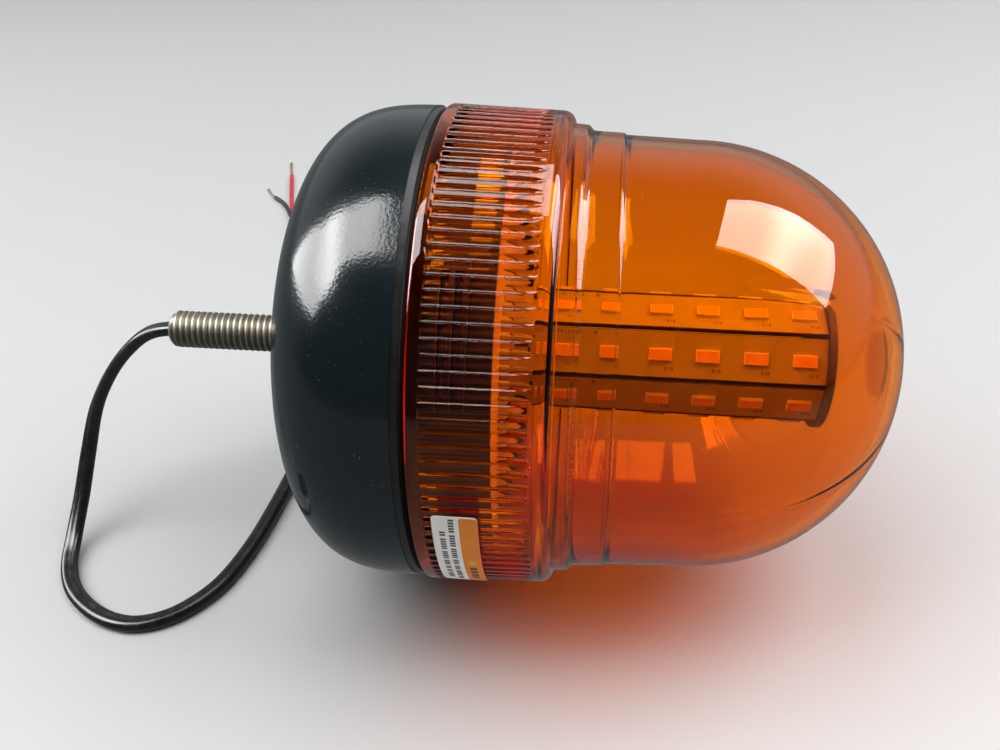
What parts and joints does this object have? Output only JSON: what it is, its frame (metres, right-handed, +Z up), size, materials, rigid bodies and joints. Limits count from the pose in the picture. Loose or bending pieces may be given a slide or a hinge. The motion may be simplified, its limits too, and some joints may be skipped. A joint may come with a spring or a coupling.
{
  "type": "amber LED warning beacon",
  "caption": "Round amber LED warning beacon with a ribbed twist-lock lens on a black bowl base, one hollow threaded mounting stud and a two-core cable.",
  "frame": {"origin": "centre of the flat mounting face, where the stud leaves the base", "axes": "+X along the beacon's axis from the stud to the top of the dome, +Z up as the beacon lies on its side"},
  "size_m": [0.2413, 0.3072, 0.1218],
  "materials": {
    "base_paint": "satin black coating with a light orange peel",
    "neck_plastic": "moulded black plastic",
    "seal_rubber": "smooth black rubber",
    "stud_steel": "turned stainless steel thread",
    "zinc": "bright zinc plating",
    "board_white": "white solder mask",
    "led_package": "white package with yellow phosphor",
    "amber_lens": "polished translucent amber plastic",
    "label_paper": "white and orange printed paper",
    "component_black": "moulded black component body",
    "cable_sheath": "glossy black flexible sheath",
    "red_insulation": "glossy red insulation",
    "black_insulation": "glossy black insulation",
    "copper_strand": "tinned copper strands, twisted"
  },
  "bodies": {
    "base": {"base_housing": "base_paint", "neck_ring": "neck_plastic", "neck_screws": "zinc", "lens_seal": "seal_rubber", "mounting_stud": "stud_steel", "stud_washer": "zinc", "stud_nut": "zinc", "driver_board": "board_white", "board_screws": "zinc", "inductor": "component_black", "capacitors": "component_black", "regulator_chip": "component_black", "diodes": "component_black", "led_strip_1": "board_white", "led_strip_2": "board_white", "led_strip_3": "board_white", "led_strip_4": "board_white", "led_strip_5": "board_white", "led_strip_6": "board_white", "led_strip_7": "board_white", "led_strip_8": "board_white", "strip_leds_1": "led_package", "strip_leds_2": "led_package", "strip_leds_3": "led_package", "strip_leds_4": "led_package", "strip_leds_5": "led_package", "strip_leds_6": "led_package", "strip_leds_7": "led_package", "strip_leds_8": "led_package", "top_board": "board_white", "top_leds": "led_package", "inner_cable": "cable_sheath", "inner_red_wire": "red_insulation", "inner_black_wire": "black_insulation", "cable": "cable_sheath", "red_wire": "red_insulation", "black_wire": "black_insulation", "red_strands": "copper_strand", "black_strands": "copper_strand"},
    "lens": {"lens": "amber_lens", "lens_label": "label_paper"}
  },
  "joints": [
    {"name": "lens_twist", "type": "hinge", "parent": "base", "child": "lens", "pos_m": [0.04, 0, 0], "axis": [1, 0, 0], "range_deg": [0, 40]}
  ]
}
